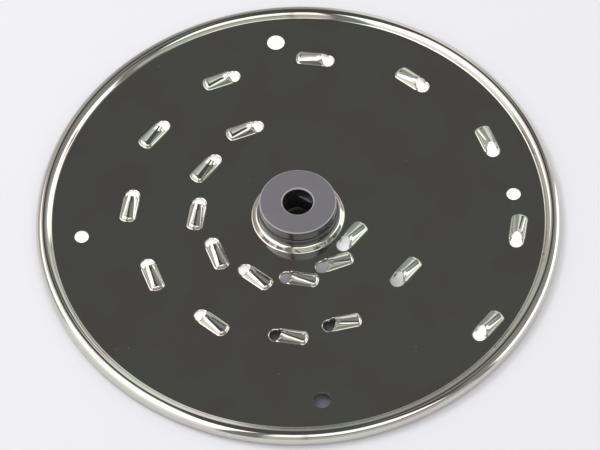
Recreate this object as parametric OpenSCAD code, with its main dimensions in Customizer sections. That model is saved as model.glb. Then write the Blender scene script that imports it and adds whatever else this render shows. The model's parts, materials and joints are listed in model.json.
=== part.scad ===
// Shredding disc of a vegetable cutter: a polished stainless plate with a rolled rim,
// a drawn boss and a spiral of pressed teeth, on a moulded plastic hub with a D bore.
// The disc lies on its rim. The origin is at the middle of the circle that it stands
// on, +Z runs along the axis towards the hub, and the X axis goes through the two
// smaller of the four locating holes.

/* [Plate] */
// Thickness of the sheet
sheet_t = 1.2; // [0.8:0.1:1.4]
// Height of the top of the flat plate above the surface the disc stands on
plate_h = 3.7; // [3.4:0.1:5]
// Radius of the flat plate, where the rolled rim begins
flat_r = 96; // [94:0.5:130]

/* [Rim] */
// Outer radius of the rounded top of the rim
bead_r = 3.1; // [2.7:0.1:3.6]
// Height of the crest of the rim above the plate
crest_h = 2.1; // [1.6:0.1:2.6]
// Radius between the plate and the rising side of the rim
rim_fillet = 0.8; // [0.4:0.1:1.2]
// Outer radius of the curl at the foot of the rim
curl_r = 1.9; // [1.6:0.1:2.3]
// Angle that the curled edge turns past the lowest point of the rim
curl_end = 50; // [20:5:70]

/* [Boss] */
// Height of the drawn boss above the plate
boss_h = 2.2; // [1.8:0.1:3]
// Radius at which the boss meets the plate
boss_foot_r = 18.2; // [17.8:0.1:19]
// Radius between the plate and the boss
boss_fillet = 0.8; // [0.4:0.1:1]
// Radius of the rounded shoulder of the boss
boss_round = 1.4; // [1.3:0.1:1.7]
// Radius of the hole in the boss, hidden in the hub
boss_hole_r = 14.4; // [12:0.1:14.6]

/* [Locating holes] */
// Distance of the four holes from the edge of the flat plate
locating_inset = 11.2; // [10:0.1:13]
// Radius of the two larger holes, on the Y axis
large_hole_r = 3.5; // [3:0.1:4]
// Radius of the two smaller holes, on the X axis
small_hole_r = 2.75; // [2:0.05:3.4]

/* [Tooth pattern] */
// Number of teeth on the inner spiral
inner_teeth = 8; // [4:1:8]
// Number of teeth on the outer spiral
outer_teeth = 13; // [6:1:13]
// Distance from the axis to the mouth of the innermost tooth
first_tooth_r = 22.6; // [22.4:0.1:24]
// Distance of the outermost tooth's mouth from the edge of the flat plate
last_tooth_inset = 7; // [6.2:0.1:9]
// Turn from one tooth to the next, clockwise
tooth_turn = 30; // [28:1:32]
// Angle of the first tooth of each spiral
first_tooth_a = -45; // [-50:1:-40]
// Place of the tooth that is set back on the outer spiral
set_back_tooth = 9; // [8:1:10]
// Angle that this tooth is set back by
set_back_a = 8; // [0:1:10]

/* [Tooth] */
// Radius of the pierced hole at the mouth of a tooth
mouth_r = 2.5; // [2.2:0.1:2.7]
// Width of the bevel round the pierced hole
mouth_bevel = 0.4; // [0.2:0.1:0.6]
// Outer half width of the raised hood
hood_r = 2.6; // [2.4:0.1:2.9]
// Thickness of the sheet in the drawn hood
hood_t = 0.9; // [0.6:0.1:1]
// Height of the cutting lip above the plate
lip_h = 4.1; // [3.5:0.1:4.6]
// Height of the hood where its round end begins
end_h = 2.2; // [1.8:0.1:2.5]
// Distance from the mouth's centre to the middle of the round end
hood_l = 9.9; // [8:0.1:11]
// Distance from the mouth's centre to the feet of the lip
lip_foot = 0.9; // [0.5:0.1:1.4]

/* [Hub] */
// Height of the hub's top above the plate
hub_h = 9.7; // [8:0.1:14]
// Radius of the upper part of the hub
hub_r = 15.1; // [14.5:0.1:15.4]
// Rounding of the top edge of the hub
hub_round = 0.9; // [0.4:0.1:1.4]
// Radius of the collar that rests on the boss
collar_r = 15.6; // [15.5:0.1:16]
// Height of the top of the collar above the plate
collar_h = 4.4; // [3.6:0.1:6]
// Radius of the flange that grips the boss from below
flange_r = 15.8; // [15:0.1:16]
// Height of the hub's underside above the surface the disc stands on
hub_lift = 0.5; // [0.2:0.1:1]
// Radius of the bore for the drive shaft
bore_r = 6; // [5:0.1:7]
// Distance from the axis to the flat of the D bore
flat_d = 5; // [4:0.1:5.5]
// Draft of the lower part of the bore: how much wider it is at the underside
bore_draft = 0.2; // [0.1:0.1:0.4]
// Height of the lead-in below the flat
flat_lead = 1; // [0.5:0.1:2]
// Depth of the round part of the bore, down to the top of the flat
round_depth = 5.2; // [3:0.1:7]
// Direction of the flat, seen from above
flat_a = 51; // [0:1:90]
// Bevel of the upper edge of the bore
bore_bevel = 0.5; // [0.2:0.1:0.8]
// Wall of the hub round the bore
bore_wall = 2.8; // [2.2:0.1:3.2]
// Wall of the hub where it goes through the hole in the boss
neck_wall = 2.2; // [1.6:0.1:2.6]
// Height of the solid top of the hub above its cored underside
hub_roof = 4.5; // [3:0.1:6]
// Number of ribs in the cored underside
rib_n = 6; // [3:1:8]
// Thickness of those ribs
rib_t = 1.6; // [1.2:0.1:2]

/* [Hidden] */
$fn = 96;
arc_steps = 12;
overlap = 0.5;
reach = 20;

// Holes and teeth, placed from the edge of the flat plate
locating_r = flat_r - locating_inset;
last_tooth_r = flat_r - last_tooth_inset;
tooth_pitch = (last_tooth_r - first_tooth_r) / (inner_teeth + outer_teeth - 1);

// Middle of the rounded top of the rim, and of the curl below it
bead_z = plate_h + crest_h - bead_r;
fillet_z = plate_h + rim_fillet;
rise = asin((fillet_z - bead_z) / (bead_r + rim_fillet));
bead_mid_r = flat_r + (bead_r + rim_fillet) * cos(rise);
rim_r = bead_mid_r + bead_r;
curl_mid_r = rim_r - curl_r;

// Middle of the rounded shoulder of the boss
boss_top = plate_h + boss_h;
shoulder_r = boss_foot_r - boss_fillet - boss_round;
shoulder_z = boss_top - boss_round;

// Slope of the ridge of a tooth
ridge_drop = atan((lip_h - end_h) / (hood_l - mouth_r));
axis_at_end = end_h - hood_r / cos(ridge_drop);
axis_at_back = axis_at_end + (hood_l + mouth_r) * tan(ridge_drop);
ridge_run = (hood_l + mouth_r) / cos(ridge_drop);

hub_top = plate_h + hub_h;
flat_top = hub_top - round_depth;
grip_top = boss_top - sheet_t;
core_in_r = bore_r + bore_wall;
core_out_r = boss_hole_r - neck_wall;
core_top = hub_top - hub_roof;

// Block that the flat of the bore is the face of, let into the wall behind it
draft_top = flat_top - overlap / 5;
flat_half_w = sqrt(pow(bore_r + bore_draft, 2) - pow(flat_d, 2)) + overlap;
flat_back = sqrt(pow(core_in_r, 2) - pow(flat_half_w, 2)) - overlap / 2;

// Points on an arc, from one angle to another
function arc(middle, r, from, to) =
    [for (i = [0:arc_steps]) let (a = from + (to - from) * i / arc_steps)
        middle + r * [cos(a), sin(a)]];

// Upper face of the sheet, from the hole in the boss to the curled edge
function upper_face() = concat(
    [[boss_hole_r, boss_top]],
    arc([shoulder_r, shoulder_z], boss_round, 90, 0),
    arc([boss_foot_r, plate_h + boss_fillet], boss_fillet, 180, 270),
    arc([flat_r, fillet_z], rim_fillet, 270, 360 - rise),
    arc([bead_mid_r, bead_z], bead_r, 180 - rise, 0),
    arc([curl_mid_r, curl_r], curl_r, 0, -90 - curl_end));

// Lower face of the sheet, the same bends one thickness away
function lower_face() = concat(
    [[boss_hole_r, boss_top - sheet_t]],
    arc([shoulder_r, shoulder_z], boss_round - sheet_t, 90, 0),
    arc([boss_foot_r, plate_h + boss_fillet], boss_fillet + sheet_t, 180, 270),
    arc([flat_r, fillet_z], rim_fillet + sheet_t, 270, 360 - rise),
    arc([bead_mid_r, bead_z], bead_r - sheet_t, 180 - rise, 0),
    arc([curl_mid_r, curl_r], curl_r - sheet_t, 0, -90 - curl_end));

function reversed(list) = [for (i = [len(list) - 1:-1:0]) list[i]];

// Angle of tooth i: each spiral starts on the same ray
function spiral_step(i) = i < inner_teeth ? i : i - inner_teeth;
function tooth_a(i) = first_tooth_a - tooth_turn * spiral_step(i)
    - (i == set_back_tooth ? set_back_a : 0);

// Moves a tooth from the middle of the plate's top to its place in the pattern
module at_tooth(i)
    rotate([0, 0, tooth_a(i)])
        translate([first_tooth_r + tooth_pitch * i, 0, plate_h])
            rotate([0, 0, 90])
                children();

// Round-ended form along the sloping ridge: half width r, open downwards by a skirt
module ridge_form(r, skirt) {
    translate([hood_l, 0, axis_at_end]) {
        sphere(r = r);
        rotate([0, -90 + ridge_drop, 0])
            cylinder(r = r, h = ridge_run);
    }
    rotate([90, 0, 0])
        linear_extrude(height = 2 * r, center = true)
            polygon([[-mouth_r, -skirt], [hood_l, -skirt],
                     [hood_l, axis_at_end], [-mouth_r, axis_at_back]]);
}

// What the press raises above the plate: a hood that starts at the pierced hole
module hood()
    intersection() {
        ridge_form(hood_r, overlap);
        translate([lip_foot, -reach / 2, -overlap])
            cube(reach);
    }

// What the tooth leaves open: the pierced hole with its bevel, and the hollow hood
module tooth_hollow() {
    translate([0, 0, -sheet_t - overlap])
        cylinder(r = mouth_r, h = reach);
    translate([0, 0, -mouth_bevel])
        cylinder(r1 = mouth_r, r2 = mouth_r + mouth_bevel, h = mouth_bevel);
    ridge_form(hood_r - hood_t, sheet_t + overlap);
}

module plate()
    color("silver")
        difference() {
            union() {
                rotate_extrude()
                    polygon(concat(upper_face(), reversed(lower_face())));
                for (i = [0:inner_teeth + outer_teeth - 1])
                    at_tooth(i) hood();
            }
            for (i = [0:inner_teeth + outer_teeth - 1])
                at_tooth(i) tooth_hollow();
            for (side = [-1, 1]) {
                translate([side * locating_r, 0, 0])
                    cylinder(r = small_hole_r, h = reach);
                translate([0, side * locating_r, 0])
                    cylinder(r = large_hole_r, h = reach);
            }
        }

// Half section of the hub, with the bore widening downwards below its round part
function hub_section() = concat(
    [[bore_r, draft_top], [bore_r + bore_draft, hub_lift], [flange_r, hub_lift],
     [flange_r, grip_top], [boss_hole_r, grip_top], [boss_hole_r, boss_top],
     [collar_r, boss_top], [collar_r, plate_h + collar_h], [hub_r, plate_h + collar_h]],
    arc([hub_r - hub_round, hub_top - hub_round], hub_round, 0, 90),
    [[bore_r + bore_bevel, hub_top], [bore_r, hub_top - bore_bevel]]);

// Flat on one side of the lower part of the bore
module flat()
    rotate([0, 0, flat_a])
        translate([flat_d, -flat_half_w, hub_lift + flat_lead])
            cube([flat_back - flat_d, 2 * flat_half_w, flat_top - hub_lift - flat_lead]);

// Ring cored out of the underside, with ribs left across it
module core()
    difference() {
        translate([0, 0, -overlap])
            cylinder(r = core_out_r, h = core_top + overlap);
        translate([0, 0, -reach])
            cylinder(r = core_in_r, h = 2 * reach);
        for (i = [0:rib_n - 1])
            rotate([0, 0, flat_a + i * 360 / rib_n])
                translate([0, -rib_t / 2, -reach])
                    cube([reach, rib_t, 2 * reach]);
    }

module hub()
    color("dimgray")
        difference() {
            union() {
                rotate_extrude()
                    polygon(hub_section());
                flat();
            }
            core();
        }

plate();
hub();
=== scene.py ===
# %% [markdown]
# # Shredding disc of a vegetable cutter
# The disc is two pieces: a plate pressed from polished stainless sheet, with a rolled
# rim, a low boss and a spiral of raised teeth, and a grey plastic hub moulded round
# the hole in the boss. Its looks come from a mirror finish, so the smoothness of the
# bends and what they reflect matter more than any colour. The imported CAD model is
# loaded first: it is the frame that every piece below has to fit.

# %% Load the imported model
import json
import math

import bmesh
import bpy
from mathutils import Matrix, Vector


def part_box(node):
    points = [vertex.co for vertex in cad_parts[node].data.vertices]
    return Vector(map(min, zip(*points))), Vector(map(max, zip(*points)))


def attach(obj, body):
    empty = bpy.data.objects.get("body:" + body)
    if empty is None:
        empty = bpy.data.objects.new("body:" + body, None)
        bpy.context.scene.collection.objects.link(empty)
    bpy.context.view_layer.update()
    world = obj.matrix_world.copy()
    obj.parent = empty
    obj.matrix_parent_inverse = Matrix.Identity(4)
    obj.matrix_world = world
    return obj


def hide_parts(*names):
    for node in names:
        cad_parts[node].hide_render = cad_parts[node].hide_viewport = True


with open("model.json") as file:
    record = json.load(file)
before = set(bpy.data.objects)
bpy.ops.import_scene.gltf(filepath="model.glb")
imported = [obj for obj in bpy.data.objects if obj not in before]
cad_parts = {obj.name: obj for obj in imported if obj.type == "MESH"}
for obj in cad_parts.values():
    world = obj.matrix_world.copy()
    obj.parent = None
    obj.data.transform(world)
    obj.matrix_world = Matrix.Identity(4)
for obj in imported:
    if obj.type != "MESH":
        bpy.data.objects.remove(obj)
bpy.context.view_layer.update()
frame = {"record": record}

MM = 0.001
plate_low, plate_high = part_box("plate")
hub_low, hub_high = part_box("hub")
mounts = {mount["name"]: mount for mount in frame["record"]["mounts"]}
print("plate in mm:", [round(side / MM, 1) for side in plate_high - plate_low])
print("hub in mm:", [round(side / MM, 1) for side in hub_high - hub_low])

# %% [markdown]
# ## Camera
# The disc lies on its rim and is seen from well above through a long lens, which keeps
# the circle nearly free of perspective. The lens, the distance and the tilt were worked
# out from the ellipse of the rim and the places of the four locating holes. The camera
# stands a little to one side of the Y axis and is rolled by two degrees.

# %% Camera
camera_lens = 216.2
camera_sensor = 36
camera_distance = 1406.5 * MM
camera_elevation = math.radians(56.0)
camera_turn = math.radians(-4.55)
camera_roll = math.radians(-1.89)
camera_aside = 0.7 * MM
camera_lower = 3.8 * MM
plate_top = 3.7 * MM


def camera_place():
    """Place of the camera: out along its line of sight, then turned and rolled."""
    aim = Matrix.Rotation(camera_turn, 4, "Z") @ Matrix.Translation((0, 0, plate_top))
    tilt = Matrix.Rotation(math.pi / 2 - camera_elevation, 4, "X")
    roll = Matrix.Rotation(camera_roll, 4, "Z")
    out = Matrix.Translation((camera_aside, -camera_lower, camera_distance))
    return aim @ tilt @ roll @ out


camera_data = bpy.data.cameras.new("camera")
camera_data.lens = camera_lens
camera_data.sensor_width = camera_sensor
camera = bpy.data.objects.new("camera", camera_data)
camera.matrix_world = camera_place()
bpy.context.scene.collection.objects.link(camera)
bpy.context.scene.camera = camera
bpy.context.scene.view_settings.view_transform = "Standard"
print("camera at", [round(c, 3) for c in camera.matrix_world.translation])

# %% [markdown]
# ## How materials are written
# Each material is a small node tree. One function adds a node with its settings and
# links, and another turns the sRGB hex value of a colour, as a paint chart gives it,
# into the linear numbers that the renderer works with. Patterns follow the object
# coordinates, so they are as large as on the real piece.

# %% Helpers for materials


def srgb(hex_value):
    """Linear colour of an sRGB hex value such as "c0c0bc"."""
    parts = [int(hex_value[i:i + 2], 16) / 255 for i in (0, 2, 4)]
    linear = [p / 12.92 if p <= 0.04045 else ((p + 0.055) / 1.055) ** 2.4 for p in parts]
    return (*linear, 1)


def set_stops(elements, stops):
    """Gives a colour ramp its stops of (position, grey level or colour)."""
    while len(elements) < len(stops):
        elements.new(0.5)
    for element, (position, tone) in zip(elements, stops):
        element.position = position
        element.color = tone if isinstance(tone, tuple) else (tone, tone, tone, 1)


def add(tree, kind, settings=None, **inputs):
    """Adds a node. settings are its properties, or the stops of its colour ramp. An
    input is a value or another socket, and is named in words, with _ for a space, or
    i0, i1... for its place."""
    node = tree.nodes.new(kind)
    for name, value in (settings or {}).items():
        if name == "stops":
            set_stops(node.color_ramp.elements, value)
        else:
            setattr(node, name, value)
    for name, value in inputs.items():
        by_place = name[0] == "i" and name[1:].isdigit()
        socket = node.inputs[int(name[1:]) if by_place else name.replace("_", " ")]
        if isinstance(value, bpy.types.NodeSocket):
            tree.links.new(value, socket)
        else:
            socket.default_value = value
    return node


def new_tree(name):
    """A new material with an empty node tree, and its object coordinates."""
    material = bpy.data.materials.new(name)
    material.use_nodes = True
    material.node_tree.nodes.clear()
    place = add(material.node_tree, "ShaderNodeTexCoord").outputs["Object"]
    return material, material.node_tree, place


print("white is", srgb("ffffff"))

# %% [markdown]
# ## Mirror-polished stainless sheet
# Cold-rolled stainless, pressed and then polished on a soft wheel. It has no colour of
# its own beyond a faint warm grey: its brights and darks are reflections. Three things
# keep it from looking like a perfect mirror. The wheel leaves hair-thin marks in all
# directions, the pressing leaves the flat very slightly wavy, and handling leaves a
# thin film with some dust. The marks and the film are drawn as roughness, the waves of
# 25 mm as bump. Real marks are some hundredths of a millimetre wide. They are drawn
# 0.3 mm wide here, because finer ones wouldn't show.

# %% Steel material
steel_colour = srgb("d6cfc8")
film_colour = srgb("d2d6c9")
steel_roughness = 0.05
film_roughness = 0.08
film_edge = (0.42, 0.58)
wave_length = 25 * MM
wave_depth = 0.05 * MM
wave_strength = 0.25
mark_width = 0.3 * MM
mark_roughness = 0.02
dust_spacing = 9 * MM
dust_size = 0.22 * MM
dust_roughness = 0.5


def polished_steel():
    """Mirror-polished stainless sheet with polishing marks, film and dust."""
    material, tree, place = new_tree("mirror_polished_stainless_sheet")
    film = add(tree, "ShaderNodeTexNoise", Vector=place, Scale=1 / wave_length,
               Detail=3.0, Roughness=0.6).outputs["Fac"]
    marks = add(tree, "ShaderNodeTexNoise", Vector=place, Scale=1 / mark_width,
                Detail=2.0).outputs["Fac"]
    specks = add(tree, "ShaderNodeTexVoronoi", Vector=place,
                 Scale=1 / dust_spacing).outputs["Distance"]
    clear, filmed = film_edge
    clouds = add(tree, "ShaderNodeValToRGB", {"stops": [(clear, 0.0), (filmed, 1.0)]},
                 i0=film).outputs["Color"]
    dust_edge = dust_size / dust_spacing
    dust = add(tree, "ShaderNodeValToRGB", {"stops": [(0.0, 1.0), (dust_edge, 0.0)]},
               i0=specks).outputs["Color"]
    colour = add(tree, "ShaderNodeMix", {"data_type": "RGBA"}, i0=clouds,
                 i6=steel_colour, i7=film_colour).outputs[2]
    rough = add(tree, "ShaderNodeMath", {"operation": "MULTIPLY_ADD"}, i0=clouds,
                i1=film_roughness - steel_roughness, i2=steel_roughness).outputs[0]
    rough = add(tree, "ShaderNodeMath", {"operation": "MULTIPLY_ADD"}, i0=marks,
                i1=mark_roughness, i2=rough).outputs[0]
    rough = add(tree, "ShaderNodeMath", {"operation": "MULTIPLY_ADD"}, i0=dust,
                i1=dust_roughness, i2=rough).outputs[0]
    waves = add(tree, "ShaderNodeBump", Strength=wave_strength, Distance=wave_depth,
                Height=film).outputs["Normal"]
    surface = add(tree, "ShaderNodeBsdfPrincipled", Base_Color=colour, Metallic=1.0,
                  Roughness=rough, Normal=waves)
    add(tree, "ShaderNodeOutputMaterial", Surface=surface.outputs["BSDF"])
    return material


steel = polished_steel()
print("made", steel.name)

# %% [markdown]
# ## Moulded hub plastic
# The hub is injection-moulded in a glass-filled grey plastic. The mould was spark
# eroded, which gives the top a fine even grain, and handling has polished the grain on
# the sides smoother. The edges get a painted highlight and the sides a painted shade.
# The colour varies slightly where the melt flowed together. Real grain is about a tenth
# of a millimetre, and it is drawn at 0.4 mm, so that it shows. Tops, edges and sides are
# told apart by how far the surface faces upwards, from 0 for a wall to 1 for a level face.

# %% Hub material
top_colour = srgb("76747a")
flow_colour = srgb("6e6b70")
# Painted highlight on the edges and painted shade on the sides, darker than the top.
edge_highlight_colour = srgb("b4b2b6")
side_shade_colour = srgb("353335")
shade_to_highlight = (0.25, 0.6)
highlight_to_top = (0.8, 0.95)
side_to_top = (0.2, 0.9)
side_roughness = 0.2
top_roughness = 0.45
grain_size = 0.4 * MM
grain_depth = 0.05 * MM
grain_strength = 0.35
flow_size = 9 * MM


def moulded_grey():
    """Grey moulded plastic: matt grained top, painted highlight on the edges, smoother sides
    with painted shade.
    """
    material, tree, place = new_tree("moulded_glass_filled_plastic")
    flow = add(tree, "ShaderNodeTexNoise", Vector=place, Scale=1 / flow_size,
               Detail=4.0).outputs["Fac"]
    grain = add(tree, "ShaderNodeTexNoise", Vector=place, Scale=1 / grain_size,
                Detail=3.0).outputs["Fac"]
    facing = add(tree, "ShaderNodeNewGeometry").outputs["Normal"]
    upward = add(tree, "ShaderNodeSeparateXYZ", Vector=facing).outputs["Z"]
    rough = add(tree, "ShaderNodeValToRGB", {"stops": [
        (side_to_top[0], side_roughness), (side_to_top[1], top_roughness)]},
        i0=upward).outputs["Color"]
    colour = add(tree, "ShaderNodeMix", {"data_type": "RGBA"}, i0=flow,
                 i6=top_colour, i7=flow_colour).outputs[2]
    # Mixes in the painted highlight on the edges, then the painted shade on the sides.
    for (start, end), painted_colour in ((highlight_to_top, edge_highlight_colour),
                                       (shade_to_highlight, side_shade_colour)):
        share = add(tree, "ShaderNodeValToRGB", {"stops": [(start, 0.0), (end, 1.0)]},
                    i0=upward).outputs["Color"]
        colour = add(tree, "ShaderNodeMix", {"data_type": "RGBA"}, i0=share,
                     i6=painted_colour, i7=colour).outputs[2]
    bump = add(tree, "ShaderNodeBump", Strength=grain_strength, Distance=grain_depth,
               Height=grain).outputs["Normal"]
    surface = add(tree, "ShaderNodeBsdfPrincipled", Base_Color=colour, Roughness=rough,
                  Normal=bump)
    add(tree, "ShaderNodeOutputMaterial", Surface=surface.outputs["BSDF"])
    return material


plastic = moulded_grey()
print("made", plastic.name)

# %% [markdown]
# ## How pieces are made
# A pressed sheet is easiest to think of as a surface without thickness: its section is
# drawn once, as a chain of straight and round stretches, and spun round the axis. The
# underside is added last, as a copy moved inwards by the sheet's thickness. The helpers
# below draw such a chain, spin it, and turn a finished bmesh into a piece.

# %% Helpers for shapes
edge_width = 0.12 * MM
same_point = 0.001 * MM


def arc(middle, radius, start, end, steps):
    """Points (distance from the axis, height) on an arc, angles in degrees."""
    angles = [math.radians(start + (end - start) * i / steps) for i in range(steps + 1)]
    return [(middle[0] + radius * math.cos(a), middle[1] + radius * math.sin(a))
            for a in angles]


def chain(bm, points):
    """A chain of edges through points (distance from the axis, height)."""
    verts = [bm.verts.new((across, 0, up)) for across, up in points]
    edges = [bm.edges.new(pair) for pair in zip(verts, verts[1:])]
    return verts + edges


def spin_round(bm, points, steps):
    """Spins a section once round the Z axis."""
    bmesh.ops.spin(bm, geom=chain(bm, points), cent=(0, 0, 0), axis=(0, 0, 1),
                   angle=2 * math.pi, steps=steps, use_merge=True, use_duplicate=False)


def new_piece(name, bm, material, node):
    """Turns a bmesh into a piece that stands for a CAD node."""
    mesh = bpy.data.meshes.new(name)
    bm.to_mesh(mesh)
    bm.free()
    mesh.shade_smooth()
    mesh.materials.append(material)
    piece = bpy.data.objects.new(name, mesh)
    bpy.context.scene.collection.objects.link(piece)
    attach(piece, "root")
    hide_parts(node)
    return piece


def soften_edges(piece, limit):
    """Breaks the edges sharper than limit degrees, as tumbling or polishing does."""
    bevel = piece.modifiers.new("broken_edges", "BEVEL")
    bevel.width = edge_width
    bevel.segments = 2
    bevel.limit_method = "ANGLE"
    bevel.angle_limit = math.radians(limit)
    bevel.harden_normals = True
    bevel.use_clamp_overlap = True


print("edges are broken by", round(edge_width / MM, 2), "mm")

# %% [markdown]
# ## One tooth
# A tooth begins as a round hole pierced in the flat sheet. A punch then raises the
# sheet on one side of the hole into a hood: its free edge stands up as a half-round
# cutting lip, and its ridge slopes down to a round nose. The bmesh is made in the same
# order. First comes flat sheet, as a strip that is spun round the nose, drawn back
# along the ridge and spun round the hole, with rows of points that run parallel to the
# ridge. Then every point is pressed to its place, which depends only on its row and on
# how far along the ridge it lies. A CAD boolean would give the same form, but its long
# thin faces shade badly on a mirror finish, and these even rows don't. Each point also
# keeps the way to its underside, because the sheet is drawn thinner towards the lip.

# %% Sizes of a tooth
sheet_t = 1.2 * MM
mouth_r = 2.5 * MM  # of the pierced hole
mouth_roll = 0.5 * MM  # width of the edge that is rolled down round the hole
mouth_drop = 0.25 * MM  # how far that edge drops
hood_l = 10.8 * MM  # from the mouth's centre to the middle of the nose
hood_t = 0.8 * MM  # of the sheet in the drawn hood
end_h = 1.6 * MM  # of the ridge where the nose begins
foot_r = 3.25 * MM  # half width between the feet
foot_fillet = 0.75 * MM
nose_l = 1.9 * MM  # from the middle of the nose to its tip
nose_fillet = 0.4 * MM
lip_h = 3.1 * MM  # of the ridge at the mouth
lip_t = 0.35 * MM  # of the sheet at the cutting lip
lip_taper = 2.0 * MM  # way over which it thickens
lip_foot = 0.5 * MM  # where the lip leaves the flat, past the mouth's centre
lip_rise = 1.6 * MM  # way over which it comes up
lip_flare = 0.25 * MM  # how far the lip is bent up
flare_l = 2.2 * MM  # way over which that fades out
margin = 0.12 * MM  # of flat sheet round the whole tooth

ridge_slope = (lip_h - end_h) / (hood_l - mouth_r)
print("the ridge slopes by", round(math.degrees(math.atan(ridge_slope)), 1), "degrees")

# %% Rows of points
# Rows up to wall_row make the wall of the hood, the next ones the fillet at its foot,
# and the last one is the border that meets the flat of the plate.
wall_row = 10
fillet_rows = 6
border_row = wall_row + fillet_rows + 1
row_step = 1 * MM
nose_steps = 20
ridge_steps = 16
lip_crowding = 1.7
mouth_steps = 24
print(border_row + 1, "rows of points from the ridge outwards")

# %% Pressing the sheet


def ease(value, start, end):
    """Smooth step from 0 at start to 1 at end."""
    t = min(max((value - start) / (end - start), 0), 1)
    return t * t * (3 - 2 * t)


def hood_section(row, height, endwise=0):
    """Place of a row in the hood's section (across, up) and the way to its inside.
    Half an ellipse with fillets at the feet, which keep their distance. endwise goes
    from 0 for the sides to 1 for the tip of the nose."""
    foot = foot_r * nose_l / math.hypot(nose_l * math.sqrt(1 - endwise ** 2),
                                        foot_r * endwise)
    fillet = foot_fillet + (nose_fillet - foot_fillet) * endwise
    if row == border_row:
        return Vector((foot + margin, 0)), Vector((0, -1))
    if row > wall_row:
        a = math.pi / 2 * (row - wall_row) / fillet_rows
        inward = Vector((-math.cos(a), -math.sin(a)))
        return Vector((foot, fillet)) + fillet * inward, inward
    a = math.pi / 2 * (1 - row / wall_row)
    inward = Vector((-math.cos(a), -math.sin(a)))
    place = Vector(((foot - fillet) * math.cos(a),
                    fillet + (height - fillet) * math.sin(a)))
    return place, inward


def mouth_section(row):
    """Place of a row in the flat sheet round the hole, whose edge is rolled down."""
    if row < wall_row:
        share = hood_section(row, lip_h)[0].x / hood_section(wall_row, lip_h)[0].x
        return Vector((mouth_r * share, -mouth_drop))
    out = mouth_roll * (row - wall_row) / fillet_rows
    if row == border_row:
        out = mouth_roll + margin
    return Vector((mouth_r + out, -mouth_drop * max(1 - out / mouth_roll, 0) ** 2))


def pressed(flat):
    """Where the press puts a point of the flat strip, and the way to its underside."""
    along = min(max(flat.x, 0), hood_l)
    out = Vector((flat.x - along, flat.y, 0))
    row = round(out.length / row_step)
    outward = out.normalized() if row else Vector((0, 0, 0))
    endwise = min(max(outward.x, 0), 1) if flat.x > hood_l else 0
    edge = mouth_section(row)
    lip_x = math.sqrt(max(mouth_r ** 2 - edge.x ** 2, 0))
    along = hood_l * (along / hood_l) ** lip_crowding
    along = lip_x + along * (hood_l - lip_x) / hood_l
    from_lip = along - lip_x
    lip_raised = ease(lip_x, lip_foot, lip_foot + lip_rise)
    raised = lip_raised + (1 - lip_raised) * ease(from_lip, 0, lip_rise)
    place, inward = hood_section(row, end_h + (hood_l - along) * ridge_slope, endwise)
    if row <= wall_row:
        place.y += lip_flare * lip_x / mouth_r * (1 - ease(from_lip, 0, flare_l))
        drawn_t = lip_t + (hood_t - lip_t) * ease(from_lip, 0, lip_taper)
    else:
        drawn_t = sheet_t + (hood_t - sheet_t) * ease(place.y, 0, foot_fillet)
    flat_t = sheet_t + edge.y
    place = edge.lerp(place, raised)
    under = Vector((0, -1)).lerp(inward, raised).normalized()
    under *= flat_t + (drawn_t - flat_t) * raised
    return (Vector((along, 0, place.y)) + outward * place.x,
            Vector((0, 0, under.y)) + outward * under.x)


# %% Mesh of one tooth


def tooth_mesh():
    """One pressed tooth with the sheet round it, the mouth's centre at the origin."""
    bm = bmesh.new()
    nose = Vector((hood_l, 0, 0))
    verts = [bm.verts.new(nose + Vector((0, row * row_step, 0)))
             for row in range(border_row + 1)]
    edges = [bm.edges.new(pair) for pair in zip(verts, verts[1:])]
    turned = bmesh.ops.spin(bm, geom=verts + edges, cent=nose, axis=(0, 0, 1),
                            angle=-math.pi, steps=nose_steps)["geom_last"]
    back = (-hood_l / ridge_steps, 0, 0)
    left, _ = [bmesh.ops.spin(bm, geom=side, cent=nose, axis=(0, 0, 1), angle=0,
                              steps=ridge_steps, dvec=back)["geom_last"]
               for side in (verts + edges, turned)]
    outer = [v for v in left if isinstance(v, bmesh.types.BMVert)
             and v.co.y > (wall_row - 0.5) * row_step]
    outer_edges = [e for e in left if isinstance(e, bmesh.types.BMEdge)
                   and all(v in outer for v in e.verts)]
    bmesh.ops.spin(bm, geom=outer + outer_edges, cent=(0, 0, 0), axis=(0, 0, 1),
                   angle=math.pi, steps=mouth_steps)
    bmesh.ops.remove_doubles(bm, verts=bm.verts[:], dist=row_step / 10)
    under = bm.verts.layers.float_vector.new("under")
    for vert in bm.verts:
        vert.co, vert[under] = pressed(vert.co)
    bmesh.ops.remove_doubles(bm, verts=bm.verts[:], dist=same_point)
    bmesh.ops.recalc_face_normals(bm, faces=bm.faces[:])
    if sum(face.normal.z for face in bm.faces) < 0:
        bmesh.ops.reverse_faces(bm, faces=bm.faces[:])
    mesh = bpy.data.meshes.new("tooth")
    bm.to_mesh(mesh)
    bm.free()
    return mesh


tooth = tooth_mesh()
print("one tooth:", len(tooth.polygons), "faces,",
      round(max(v.co.z for v in tooth.vertices) / MM, 2), "mm high")

# %% [markdown]
# ## The plate
# The section of the plate, seen from the axis outwards: the boss with its rounded
# shoulder, a small fillet, the flat, another fillet, and the rolled rim, a bead whose
# edge is curled under so that no cutter's edge faces the hand. The boss and the rim
# are spun. The teeth are set in the flat by a rule: each spiral starts on the same
# ray, each next tooth is a twelfth of a turn further clockwise and one pitch further
# out, and one tooth is set back by a few degrees. What is left of the flat is filled
# between the borders of all these pieces, so the whole sheet is one surface with
# shared points.

# %% Sizes of the plate
flat_r = 96 * MM
bead_r = 3.08 * MM
crest_h = 2.1 * MM
rim_fillet = 0.8 * MM
curl_r = 1.9 * MM
curl_end = 50  # degrees past the lowest point
boss_h = 2.2 * MM
boss_foot_r = 18.3 * MM
boss_fillet = 0.7 * MM
boss_round = 1.5 * MM
boss_slope = 62  # degrees
boss_hole_r = 14.4 * MM
flat_margin = 0.4 * MM  # of flat sheet that the rim and the boss each bring

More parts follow.
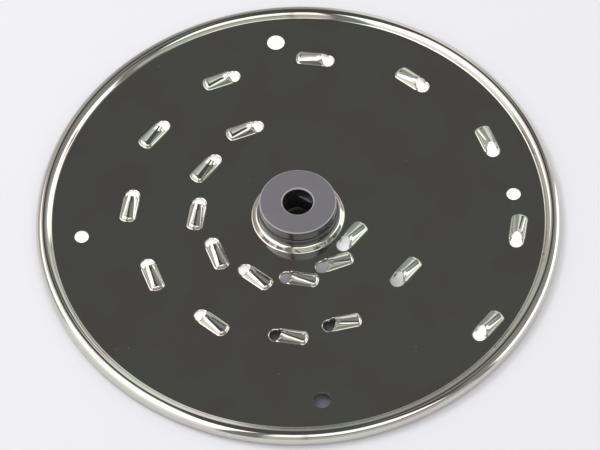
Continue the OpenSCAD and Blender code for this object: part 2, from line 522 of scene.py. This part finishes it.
inner_teeth = 8
outer_teeth = 13
first_tooth_r = 22.6 * MM
tooth_pitch = 3.32 * MM
tooth_turn = 30
first_tooth_a = -45
set_back_tooth = 9
set_back_a = 8  # degrees

# How finely bends, spins and holes are divided.
bead_steps = 20
curl_steps = 16
fillet_steps = 6
shoulder_steps = 6
boss_fillet_steps = 5
rim_steps = 360
boss_steps = 144
hole_steps = 40
print("teeth:", inner_teeth + outer_teeth, "between",
      round(first_tooth_r / MM, 1), "and",
      round((first_tooth_r + tooth_pitch * (inner_teeth + outer_teeth - 1)) / MM, 1), "mm")

# %% Mesh of the plate


def rim_section():
    """From the edge of the flat, over the bead, to the curled edge under it."""
    bead_z = plate_top + crest_h - bead_r
    fillet_z = plate_top + rim_fillet
    rise = math.degrees(math.asin((fillet_z - bead_z) / (bead_r + rim_fillet)))
    bead_at = flat_r + (bead_r + rim_fillet) * math.cos(math.radians(rise))
    curl_at = bead_at + bead_r - curl_r
    return ([(flat_r - flat_margin, plate_top)]
            + arc((flat_r, fillet_z), rim_fillet, 270, 360 - rise, fillet_steps)
            + arc((bead_at, bead_z), bead_r, 180 - rise, 0, bead_steps)[1:]
            + arc((curl_at, curl_r), curl_r, 0, -90 - curl_end, curl_steps))


def boss_section():
    """From the hole in the boss, down its sloping shoulder, to the flat. fall is the
    height of the straight slope, run the way from the shoulder's bend to the foot."""
    slope = math.radians(boss_slope)
    normal_a = 90 - boss_slope
    bends = boss_round + boss_fillet
    fall = boss_h - bends * (1 - math.cos(slope))
    run = bends * math.sin(slope) + fall / math.tan(slope)
    foot = (boss_foot_r, plate_top + boss_fillet)
    shoulder = (boss_foot_r - run, plate_top + boss_h - boss_round)
    return ([(boss_hole_r, plate_top + boss_h)]
            + arc(shoulder, boss_round, 90, normal_a, shoulder_steps)
            + arc(foot, boss_fillet, 180 + normal_a, 270, boss_fillet_steps)
            + [(boss_foot_r + flat_margin, plate_top)])


def tooth_place(index):
    """Turns and moves a tooth to its place in the pattern."""
    step = index if index < inner_teeth else index - inner_teeth
    angle = first_tooth_a - tooth_turn * step - set_back_a * (index == set_back_tooth)
    return (Matrix.Rotation(math.radians(angle), 4, "Z")
            @ Matrix.Translation((first_tooth_r + tooth_pitch * index, 0, plate_top))
            @ Matrix.Rotation(math.pi / 2, 4, "Z"))


def add_teeth(bm):
    """Adds a copy of the tooth at each place."""
    for index in range(inner_teeth + outer_teeth):
        turn = tooth_place(index)
        placed = tooth.copy()
        placed.transform(turn)
        for under in placed.attributes["under"].data:
            under.vector = turn.to_3x3() @ under.vector
        bm.from_mesh(placed)
        bpy.data.meshes.remove(placed)


def add_locating_holes(bm):
    """Adds the edges of the four round holes near the rim, from the CAD's mounts."""
    for name, axis in (("small_locating_holes", "x"), ("large_locating_holes", "y")):
        size = mounts[name]["dims"]
        for side in (-0.5, 0.5):
            middle = Vector((0, 0, plate_top))
            setattr(middle, axis, side * size[f"spacing_{axis}_mm"] * MM)
            bmesh.ops.create_circle(bm, segments=hole_steps, radius=size["hole_r_mm"] * MM,
                                    matrix=Matrix.Translation(middle))


def fill_flat(bm):
    """Fills the flat between all the borders that lie in it."""
    borders = [e for e in bm.edges if len(e.link_faces) < 2
               and all(abs(v.co.z - plate_top) < same_point / 10 for v in e.verts)]
    before = len(bm.faces)
    bmesh.ops.triangle_fill(bm, use_beauty=True, edges=borders, normal=(0, 0, 1))
    print("flat filled with", len(bm.faces) - before, "faces from", len(borders),
          "border edges")


def give_thickness(bm):
    """Adds the underside of the sheet and the walls along its edges."""
    under = bm.verts.layers.float_vector["under"]
    bm.normal_update()
    for vert in bm.verts:
        if not any(vert[under]):
            vert[under] = -sheet_t * vert.normal
    edges = [edge for edge in bm.edges if edge.is_boundary]
    copied = bmesh.ops.duplicate(bm, geom=bm.faces[:])
    lower = copied["vert_map"]
    for vert in copied["geom"]:
        if isinstance(vert, bmesh.types.BMVert):
            vert.co += vert[under]
    for edge in edges:
        one, other = edge.verts
        bm.faces.new((one, other, lower[other], lower[one]))
    bmesh.ops.recalc_face_normals(bm, faces=bm.faces[:])
    bm.verts.layers.float_vector.remove(under)
    print("sheet:", len(edges), "edge walls; volume",
          round(bm.calc_volume() / MM ** 3), "mm3")


def make_plate():
    """The whole plate as one sheet."""
    bm = bmesh.new()
    bm.verts.layers.float_vector.new("under")
    spin_round(bm, rim_section(), rim_steps)
    spin_round(bm, boss_section(), boss_steps)
    bmesh.ops.remove_doubles(bm, verts=bm.verts[:], dist=same_point)
    add_teeth(bm)
    add_locating_holes(bm)
    fill_flat(bm)
    bmesh.ops.recalc_face_normals(bm, faces=bm.faces[:])
    flat = max(bm.faces, key=lambda f: f.calc_area() * (abs(f.normal.z) > 0.99))
    if flat.normal.z < 0:
        bmesh.ops.reverse_faces(bm, faces=bm.faces[:])
    give_thickness(bm)
    piece = new_piece("polished_plate", bm, steel, "plate")
    soften_edges(piece, limit=40)
    return piece


plate = make_plate()
print("plate:", len(plate.data.polygons), "faces")

# %% [markdown]
# ## The hub
# A turned shape with a D bore. The section is spun, and the lower part of the bore is
# then flattened on one side by moving its points onto a plane. The section holds two
# rings of points a hair above and below that part, so that the flat ends in clean
# ledges. The underside is cored out, as a moulding of even thickness has to be, with
# ribs left across the ring.

# %% Sizes of the hub
hub_r = 15.1 * MM
hub_round = 0.9 * MM
collar_r = 15.6 * MM
collar_z = plate_top + 4.4 * MM
flange_r = 15.8 * MM
flat_d = 5 * MM  # from the axis to the flat
flat_lead = 1 * MM  # round stretch below the flat
round_depth = 5.2 * MM  # round stretch above it
bore_draft = 0.2 * MM
flat_a = math.radians(51)
bore_bevel = 0.5 * MM
bore_wall = 2.8 * MM
neck_wall = 2.2 * MM
hub_roof = 4.5 * MM
rib_count = 6
rib_t = 1.6 * MM
rib_let_in = 0.3 * MM
bore_r = mounts["shaft_bore"]["dims"]["r_mm"] * MM
boss_top = plate_top + boss_h
hub_top = hub_high.z
hub_foot = hub_low.z
core_in_r = bore_r + bore_wall
core_out_r = boss_hole_r - neck_wall
core_top = hub_top - hub_roof
ring_gap = 0.01 * MM
hub_round_steps = 8
hub_steps = 192
print("hub:", round((hub_top - boss_top) / MM, 2), "mm above the boss")

# %% Mesh of the hub


def hub_section():
    """Half section of the hub, once round from the bore's upper edge."""
    grip_top = boss_top - sheet_t
    ledge = hub_top - round_depth
    lead = hub_foot + flat_lead
    at_lead = bore_r + bore_draft * (ledge - lead) / (ledge - hub_foot)
    return ([(bore_r + bore_bevel, hub_top)]
            + arc((hub_r - hub_round, hub_top - hub_round), hub_round, 90, 0,
                  hub_round_steps)
            + [(hub_r, collar_z), (collar_r, collar_z), (collar_r, boss_top),
               (boss_hole_r, boss_top), (boss_hole_r, grip_top), (flange_r, grip_top),
               (flange_r, hub_foot), (core_out_r, hub_foot), (core_out_r, core_top),
               (core_in_r, core_top), (core_in_r, hub_foot),
               (bore_r + bore_draft, hub_foot),
               (at_lead, lead), (at_lead, lead + ring_gap),
               (bore_r, ledge - ring_gap), (bore_r, ledge),
               (bore_r, hub_top - bore_bevel), (bore_r + bore_bevel, hub_top)])


def press_flat(bm):
    """Moves the lower part of the bore's wall onto the flat of the D."""
    direction = Vector((math.cos(flat_a), math.sin(flat_a), 0))
    low = hub_foot + flat_lead + ring_gap / 2
    high = hub_top - round_depth - ring_gap / 2
    for vert in bm.verts:
        in_wall = math.hypot(vert.co.x, vert.co.y) < bore_r + bore_bevel / 2
        beyond = vert.co.dot(direction) - flat_d
        if in_wall and low < vert.co.z < high and beyond > 0:
            vert.co -= direction * beyond


def add_ribs(bm):
    """Ribs across the cored ring, let a little into its walls and roof."""
    length = core_out_r - core_in_r + 2 * rib_let_in
    height = core_top - hub_foot + rib_let_in
    middle = Matrix.Translation(((core_in_r + core_out_r) / 2, 0, hub_foot + height / 2))
    size = Matrix.Diagonal((length, rib_t, height, 1))
    for i in range(rib_count):
        turn = Matrix.Rotation(flat_a + i * math.tau / rib_count, 4, "Z")
        bmesh.ops.create_cube(bm, size=1, matrix=turn @ middle @ size)


def make_hub():
    """The moulded hub."""
    bm = bmesh.new()
    spin_round(bm, hub_section(), hub_steps)
    press_flat(bm)
    bmesh.ops.remove_doubles(bm, verts=bm.verts[:], dist=2 * ring_gap)
    bmesh.ops.recalc_face_normals(bm, faces=bm.faces[:])
    add_ribs(bm)
    piece = new_piece("moulded_hub", bm, plastic, "hub")
    soften_edges(piece, limit=35)
    return piece


hub = make_hub()
print("hub:", len(hub.data.polygons), "faces")

# %% [markdown]
# ## The cloth that it lies on
# A flat floor of white cotton, which takes the disc's shadow. Where it is seen through
# the holes and the mouths of the teeth, it glows with painted light, so it stays light.
# Two places get a painted shade instead: the part under the front of the disc and the
# part under the bore. Distances from the axis are measured in shares of the covered
# radius. The threads are about half a millimetre apart, and the weave is drawn at 1.2
# mm, so that it shows.

# %% Floor
cloth_colour = srgb("efeef3")
# Painted shade of the cloth under the front of the disc and under the bore.
shaded_colour = srgb("77747f")
bore_shade_colour = srgb("262626")
floor_size = 3.0
weave_size = 1.2 * MM
weave_depth = 0.1 * MM
covered_r = 100 * MM
covered_edge = [(0.96, 0.0), (0.99, 1.0)]
bore_edge = [(0.05, 0.0), (0.12, 1.0)]
# Painted glow of the cloth under the disc, by share of the covered radius.
painted_glow_stops = [(0.13, 0.0), (0.22, 0.6), (0.8, 0.85), (0.97, 0.85), (1.0, 0.0)]
shade_middle = (5 * MM, -62 * MM, 0)
shade_inner_r = 34 * MM
shade_outer_r = 50 * MM


def white_cloth():
    """Matt white cotton, with a painted glow where it is seen through the disc and painted
    shade under its front and under the bore.
    """
    material, tree, place = new_tree("white_cotton_cloth")
    weave = add(tree, "ShaderNodeTexNoise", Vector=place, Scale=1 / weave_size,
                Detail=2.0).outputs["Fac"]
    bump = add(tree, "ShaderNodeBump", Strength=0.1, Distance=weave_depth,
               Height=weave).outputs["Normal"]
    off_axis = add(tree, "ShaderNodeVectorMath", {"operation": "LENGTH"},
                   i0=place).outputs["Value"]
    share = add(tree, "ShaderNodeMath", {"operation": "DIVIDE"}, i0=off_axis,
                i1=covered_r).outputs[0]
    glow_ramp, outside, off_bore = [
        add(tree, "ShaderNodeValToRGB", {"stops": stops}, i0=share).outputs["Color"]
        for stops in (painted_glow_stops, covered_edge, bore_edge)]
    off_shade = add(tree, "ShaderNodeVectorMath", {"operation": "DISTANCE"}, i0=place,
                    i1=shade_middle).outputs["Value"]
    unshaded = add(tree, "ShaderNodeMapRange", i0=off_shade, i1=shade_inner_r,
                   i2=shade_outer_r).outputs[0]
    # Painted glow where the cloth is seen through the disc, left out in the painted shade.
    glow = add(tree, "ShaderNodeMath", {"operation": "MULTIPLY"}, i0=unshaded,
               i1=glow_ramp).outputs[0]
    light = add(tree, "ShaderNodeMath", {"operation": "MAXIMUM"}, i0=unshaded,
                i1=outside).outputs[0]
    # Painted shade under the front of the disc, then under the bore.
    colour = add(tree, "ShaderNodeMix", {"data_type": "RGBA"}, i0=light,
                 i6=shaded_colour, i7=cloth_colour).outputs[2]
    colour = add(tree, "ShaderNodeMix", {"data_type": "RGBA"}, i0=off_bore,
                 i6=bore_shade_colour, i7=colour).outputs[2]
    surface = add(tree, "ShaderNodeBsdfPrincipled", Base_Color=colour, Roughness=0.9,
                  Emission_Color=cloth_colour, Emission_Strength=glow, Normal=bump)
    add(tree, "ShaderNodeOutputMaterial", Surface=surface.outputs["BSDF"])
    return material


def make_floor():
    """The flat floor that the disc lies on."""
    bm = bmesh.new()
    bmesh.ops.create_grid(bm, x_segments=1, y_segments=1, size=floor_size)
    mesh = bpy.data.meshes.new("floor")
    bm.to_mesh(mesh)
    bm.free()
    mesh.materials.append(white_cloth())
    floor = bpy.data.objects.new("floor", mesh)
    bpy.context.scene.collection.objects.link(floor)
    return floor


floor = make_floor()
print("made", floor.name, "with", floor.data.materials[0].name)

# %% [markdown]
# ## The room in the reflections
# A mirror finish shows the room, so the room is the larger part of the looks. A dark
# ceiling turns the flat of the plate to charcoal, and windows, lamps and walls draw the
# light and dark bands on the rim, the boss and the teeth. Each is a panel on the dome
# of the world, with soft edges, and lies over the ones before it. Directions are given
# as a photographer would: azimuth in degrees clockwise from straight behind the disc,
# and elevation above the horizon. Levels are brightness, 1 being a white wall. Matt
# surfaces don't see the panels. They are lit by a plain sky, whiter overhead, and the
# camera itself sees white.

# %% World
dome_level = 0.088
sky_level = 0.3
sky_rise = 0.8  # added to it straight overhead
panel_softness = 5  # degrees
panels = [
    ("room on the right", (38, 112), (-90, 60), 0.33),
    ("wall behind on the right", (34, 56), (20, 48), 0.6),
    ("ceiling on the right", (15, 64), (46, 76), 0.3),
    ("low light on the right", (50, 108), (-90, 30), 2.0),
    ("room in front on the right", (112, 180), (-90, 44), 0.30),
    ("low light in front on the right", (118, 180), (-90, 26), 0.6),
    ("lamp over the camera", (122, 180), (42, 74), 1.7),
    ("lamp over the camera, other half", (-180, -163), (42, 74), 1.7),
    ("window in front on the left", (-180, -164), (-90, 44), 0.6),
    ("dark doorway in front on the left", (-164, -150), (-90, 66), 0.25),
    ("room behind on the left", (-100, -18), (-90, 54), 0.55),
    ("room straight behind", (-22, 4), (-90, 44), 0.4),
    ("low wall on the left", (-150, -86), (-90, 34), 1.1),
    ("window on the left", (-150, -50), (29, 74), 2.2),
    ("window's near side", (-54, -38), (31, 48), 1.6),
    ("light over the left corner", (-56, -24), (53, 70), 0.9),
    ("window behind", (4, 20), (-90, 46), 1.0),
    ("window behind, lower part", (16, 48), (-90, 22), 0.9),
]


def between(tree, value, low, high):
    """1 where value lies between low and high, with soft edges."""
    rising = add(tree, "ShaderNodeMapRange", {"interpolation_type": "SMOOTHSTEP"}, i0=value,
                 i1=low - panel_softness / 2, i2=low + panel_softness / 2).outputs[0]
    falling = add(tree, "ShaderNodeMapRange", {"interpolation_type": "SMOOTHSTEP"}, i0=value,
                  i1=high - panel_softness / 2, i2=high + panel_softness / 2,
                  i3=1.0, i4=0.0).outputs[0]
    return add(tree, "ShaderNodeMath", {"operation": "MULTIPLY"}, i0=rising,
               i1=falling).outputs[0]


def make_world():
    """Dark dome with lighter panels, as mirror surfaces see it, and a plain sky."""
    world = bpy.data.worlds.new("studio")
    world.use_nodes = True
    tree = world.node_tree
    tree.nodes.clear()
    towards = add(tree, "ShaderNodeTexCoord").outputs["Generated"]
    turned = add(tree, "ShaderNodeVectorRotate", {"rotation_type": "Z_AXIS"},
                 Vector=towards, Angle=-camera_turn)
    axes = add(tree, "ShaderNodeSeparateXYZ", Vector=turned.outputs[0]).outputs
    turn = add(tree, "ShaderNodeMath", {"operation": "ARCTAN2"}, i0=axes["X"],
               i1=axes["Y"]).outputs[0]
    rise = add(tree, "ShaderNodeMath", {"operation": "ARCSINE"}, i0=axes["Z"]).outputs[0]
    azimuth, height = [
        add(tree, "ShaderNodeMath", {"operation": "DEGREES"}, i0=angle).outputs[0]
        for angle in (turn, rise)]
    level = dome_level
    for name, azimuths, heights, brightness in panels:
        where = add(tree, "ShaderNodeMath", {"operation": "MULTIPLY"},
                    i0=between(tree, azimuth, *azimuths),
                    i1=between(tree, height, *heights))
        panel = add(tree, "ShaderNodeMix", i0=where.outputs[0], i2=level, i3=brightness)
        panel.label = name
        level = panel.outputs[0]
    rays = add(tree, "ShaderNodeLightPath").outputs
    sky = add(tree, "ShaderNodeMath", {"operation": "MULTIPLY_ADD"}, i0=axes["Z"],
              i1=sky_rise, i2=sky_level)
    seen = add(tree, "ShaderNodeMix", i0=rays["Is Glossy Ray"], i2=sky.outputs[0],
               i3=level)
    shown = add(tree, "ShaderNodeMix", i0=rays["Is Camera Ray"], i2=seen.outputs[0],
                i3=1.0)
    light = add(tree, "ShaderNodeBackground", Strength=shown.outputs[0])
    light.inputs["Color"].default_value = (1, 1, 1, 1)
    add(tree, "ShaderNodeOutputWorld", Surface=light.outputs["Background"])
    bpy.context.scene.world = world


make_world()
print("world with", len(panels), "panels")

# %% [markdown]
# ## The lamp
# One large soft lamp, high at the back on the left, gives the shadow its direction. The
# panels already stand for lamps in the steel, so it is left out of the reflections.

# %% Lamp
lamp_place = Vector((-0.5, 0.35, 1.1))
lamp_size = 0.5
lamp_power = 3.2

lamp_data = bpy.data.lights.new("softbox", "AREA")
lamp_data.shape = "DISK"
lamp_data.size = lamp_size
lamp_data.energy = lamp_power
lamp = bpy.data.objects.new("softbox", lamp_data)
lamp.matrix_world = (Matrix.Translation(lamp_place)
                     @ lamp_place.to_track_quat("Z", "Y").to_matrix().to_4x4())
lamp.visible_glossy = False
bpy.context.scene.collection.objects.link(lamp)
print("lamp", round(lamp_place.length, 2), "m from the disc")
